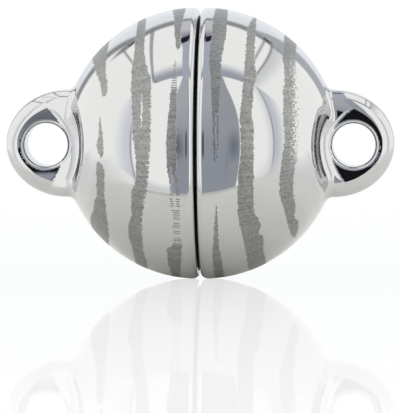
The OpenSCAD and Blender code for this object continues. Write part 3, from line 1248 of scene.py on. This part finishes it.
def room_outside(g, at, opening):
    """The room that is seen through the tent's front."""
    room = g.blend(g.ramp(at.front_z, -0.15, 0.8), opening, TENT["room, high"])
    right = g.times(g.ramp(at.round, 6, 14), g.ramp(at.front_z, 0.1, 0.5), 0.6)
    room = g.blend(right, room, TENT["room, right"])
    tall = g.times(g.ramp(at.rise, -18, -2), g.fall(at.rise, 0, 17))
    for middle, strength in DARK_THINGS:
        wide = g.times(g.ramp(at.round, middle - 8, middle), g.fall(at.round, middle, middle + 8))
        room = g.blend(g.times(tall, wide, strength), room, TENT["room's dark things"])
    crease = g.times(g.band(at.round, 18.8, 20.6, 0.8), g.ramp(at.rise, -38, -12), g.fall(at.rise, -14, -6))
    return g.blend(g.times(crease, 0.35), room, TENT["room's crease"])


def tent_opening(g, at, colour, opening):
    """Opening, wide in the front wall and narrow over the roof, with the camera in it."""
    pinch = g.ramp(at.front_z, 0.4, 1.4)
    wide = g.times(
        at.is_front,
        g.ramp(g.fit(pinch, -0.10, at.front_x), -0.52, -0.48),
        g.fall(g.fit(pinch, 0.09, at.front_x), 0.58, 0.62),
        g.fall(at.front_z, 1.7, 2.0),
    )
    colour = g.blend(wide, colour, room_outside(g, at, opening))
    narrow = g.fit(g.math("MINIMUM", at.roof_y, 0.0), -0.11, 0.163)
    within = g.fall(g.minus(g.math("ABSOLUTE", at.roof_x), narrow), -0.012, 0.012)
    slit = g.times(at.is_up, within, g.band(at.roof_y, -0.62, 0.85, 0.03))
    gap = g.blend(g.ramp(at.roof_y, 0.24, 0.27), TENT["roof gap, near"], TENT["roof gap, middle"])
    gap = g.blend(g.ramp(at.roof_y, 0.28, 0.5), gap, TENT["roof gap, far"])
    colour = g.blend(slit, colour, gap)
    camera = g.times(g.band(at.round, -9.2, -1.2, 0.7), g.band(at.rise, -10, 11, 4))
    return g.blend(camera, colour, TENT["camera"])


def tent_dark_places(g, at, colour):
    """Dark hole in the roof, and the dark corners where its beams meet."""
    middle = g.fit(g.math("GREATER_THAN", at.roof_x, 0.0), 0.175, -0.125)
    tilt = g.times(g.minus(at.roof_x, middle), -0.6)
    hole = g.band(g.plus(at.roof_y, tilt), 0.14, 0.27, 0.015)
    hole = g.times(at.is_up, hole, g.band(at.roof_x, -0.175, 0.12, 0.01))
    colour = g.blend(hole, colour, TENT["roof hole"])
    for x, y, size in ROOF_CORNERS:
        along_x = g.band(at.roof_x, x - size, x + size, 0.02)
        corner = g.times(at.is_up, along_x, g.band(at.roof_y, y - size, y + size, 0.03))
        colour = g.blend(g.times(corner, 0.85), colour, TENT["roof's corners"])
    return colour


def tent_world(studio):
    """Light tent of white cloth that the steel reflects; seen straight, it is plain white."""
    world = bpy.data.worlds.new("light_tent")
    world.use_nodes = True
    g = Graph(world.node_tree)
    at = TentPlaces(g, studio.turn)
    colour = tent_back(g, at, tuple(studio.white))
    colour = tent_roof(g, at, colour)
    colour = tent_front(g, at, colour)
    colour = tent_opening(g, at, colour, tuple(studio.opening))
    colour = tent_dark_places(g, at, colour)
    is_seen = g.node("ShaderNodeLightPath").outputs["Is Camera Ray"]
    tent = g.node("ShaderNodeBackground", {0: colour, 1: 1.0}).outputs[0]
    white = g.node("ShaderNodeBackground", {0: (1, 1, 1, 1), 1: 1.05}).outputs[0]
    g.node("ShaderNodeOutputWorld", {0: g.mix_shader(is_seen, tent, white)})
    return world


FLOOR_RADIUS = 3.0
BALL_ABOVE_MIDDLE = 0.00281  # the ball stands this far above the picture's middle
AIM_ASIDE = -0.000035  # the camera looks this far beside the ball's middle
SENSOR_WIDTH = 36.0


class CLASP_OT_stage(bpy.types.Operator):
    """Set up the pale floor, the light tent and the camera"""

    bl_idname = "clasp.stage"
    bl_label = "Stage"

    def execute(self, context):
        studio = context.scene.clasp_studio
        bpy.ops.mesh.primitive_circle_add(
            vertices=96, radius=FLOOR_RADIUS, fill_type="NGON", location=(0, 0, 0),
        )
        floor = context.active_object
        floor.name = "floor"
        floor.data.materials.append(floor_material(studio))
        context.scene.world = tent_world(studio)
        context.scene.view_settings.view_transform = "Standard"
        context.scene.view_settings.look = "None"
        data = bpy.data.cameras.new("camera")
        camera = bpy.data.objects.new("camera", data)
        context.collection.objects.link(camera)
        ball = Vector((0, 0, CENTRE_Z))
        back = Vector((
            math.sin(studio.turn) * math.cos(studio.rise),
            -math.cos(studio.turn) * math.cos(studio.rise),
            math.sin(studio.rise),
        ))
        camera.location = ball + back * studio.distance
        aim = ball + Vector((AIM_ASIDE, 0, -BALL_ABOVE_MIDDLE))
        camera.rotation_euler = (aim - camera.location).to_track_quat("-Z", "Y").to_euler()
        data.sensor_fit, data.sensor_width = "HORIZONTAL", SENSOR_WIDTH
        data.lens = SENSOR_WIDTH * studio.distance / studio.view_width
        data.clip_start, data.clip_end = 0.01, 20.0
        context.scene.camera = camera
        return {"FINISHED"}


class CLASP_PT_panel(bpy.types.Panel):
    """Lists the clasp's settings and steps"""

    bl_label = "Magnetic ball clasp"
    bl_idname = "CLASP_PT_panel"
    bl_space_type = "VIEW_3D"
    bl_region_type = "UI"
    bl_category = "Clasp"

    def draw(self, context):
        layout = self.layout
        for group in (context.scene.clasp_sizes, context.scene.clasp_finish, context.scene.clasp_studio):
            box = layout.box()
            for name in type(group).__annotations__:
                box.prop(group, name)
        for step in STEPS:
            layout.operator(step.bl_idname)


GROUPS = (("clasp_sizes", ClaspSizes), ("clasp_finish", ClaspFinish), ("clasp_studio", ClaspStudio))
STEPS = (CLASP_OT_halves, CLASP_OT_magnets, CLASP_OT_stage)


def register():
    for cls in (*(group for _, group in GROUPS), *STEPS, CLASP_PT_panel):
        bpy.utils.register_class(cls)
    for name, group in GROUPS:
        setattr(bpy.types.Scene, name, PointerProperty(type=group))


def unregister():
    for name, _ in GROUPS:
        delattr(bpy.types.Scene, name)
    for cls in reversed((*(group for _, group in GROUPS), *STEPS, CLASP_PT_panel)):
        bpy.utils.unregister_class(cls)


def main():
    register()
    bpy.ops.clasp.halves()
    bpy.ops.clasp.magnets()
    bpy.ops.clasp.stage()
    bpy.context.view_layer.update()


if __name__ == "__main__":
    main()
